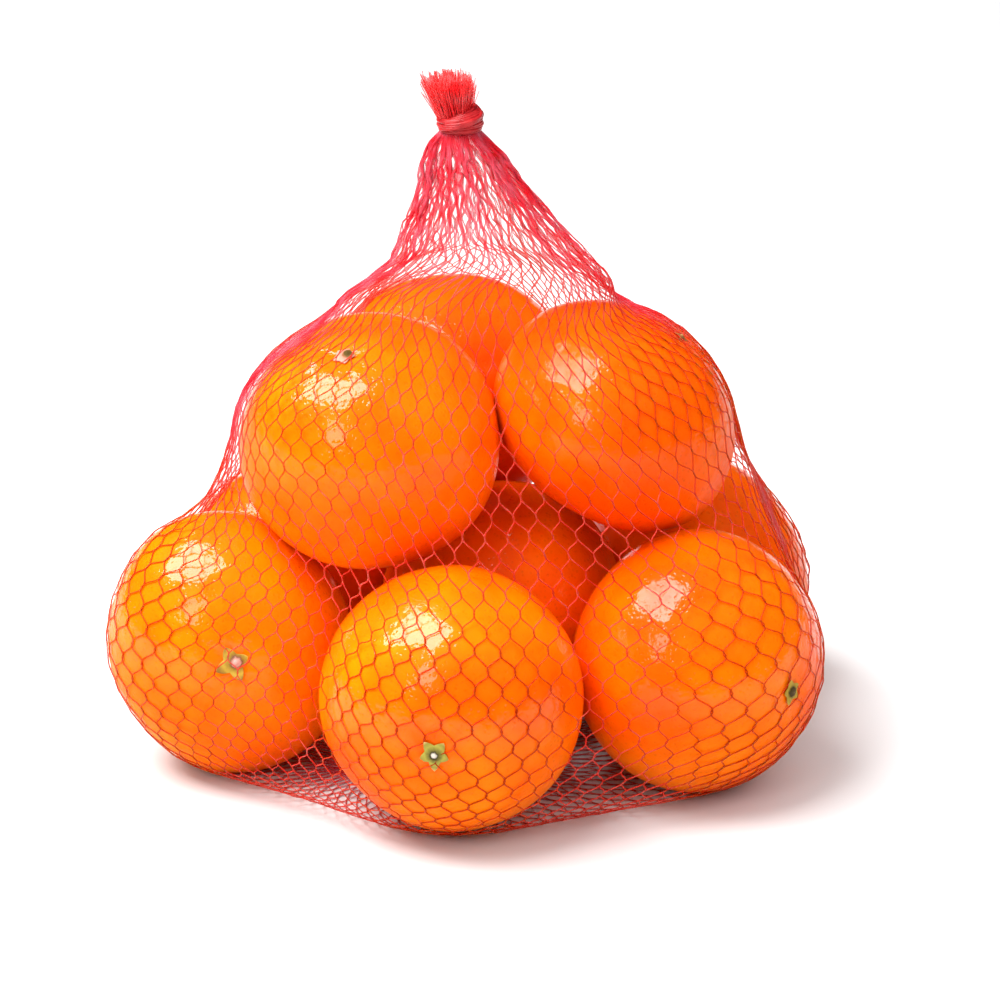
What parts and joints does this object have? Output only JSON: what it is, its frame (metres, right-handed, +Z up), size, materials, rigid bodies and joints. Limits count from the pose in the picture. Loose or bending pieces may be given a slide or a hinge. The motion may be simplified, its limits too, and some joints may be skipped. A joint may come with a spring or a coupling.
{
  "type": "net of mandarins",
  "caption": "Standing net bag drawn tight over a small heap of mandarins, gathered at the neck, tied in a knot with a short frayed tuft.",
  "frame": {"origin": "middle of the bag's box on the surface that it stands on", "axes": "+Z up through the knot, -Y towards the side seen first, +X to that viewer's right"},
  "size_m": [0.1752, 0.1578, 0.1725],
  "materials": {
    "net": "knitted monofilament netting, slightly clear, satin gloss",
    "knot": "tightly wound netting, satin gloss",
    "tuft": "frayed cut filament ends, satin gloss",
    "peel": "waxed citrus peel with fine pores",
    "calyx": "dry green-brown stem button"
  },
  "bodies": {
    "root": {"net_bag": "net", "knot": "knot", "tuft": "tuft"}
  },
  "joints": []
}
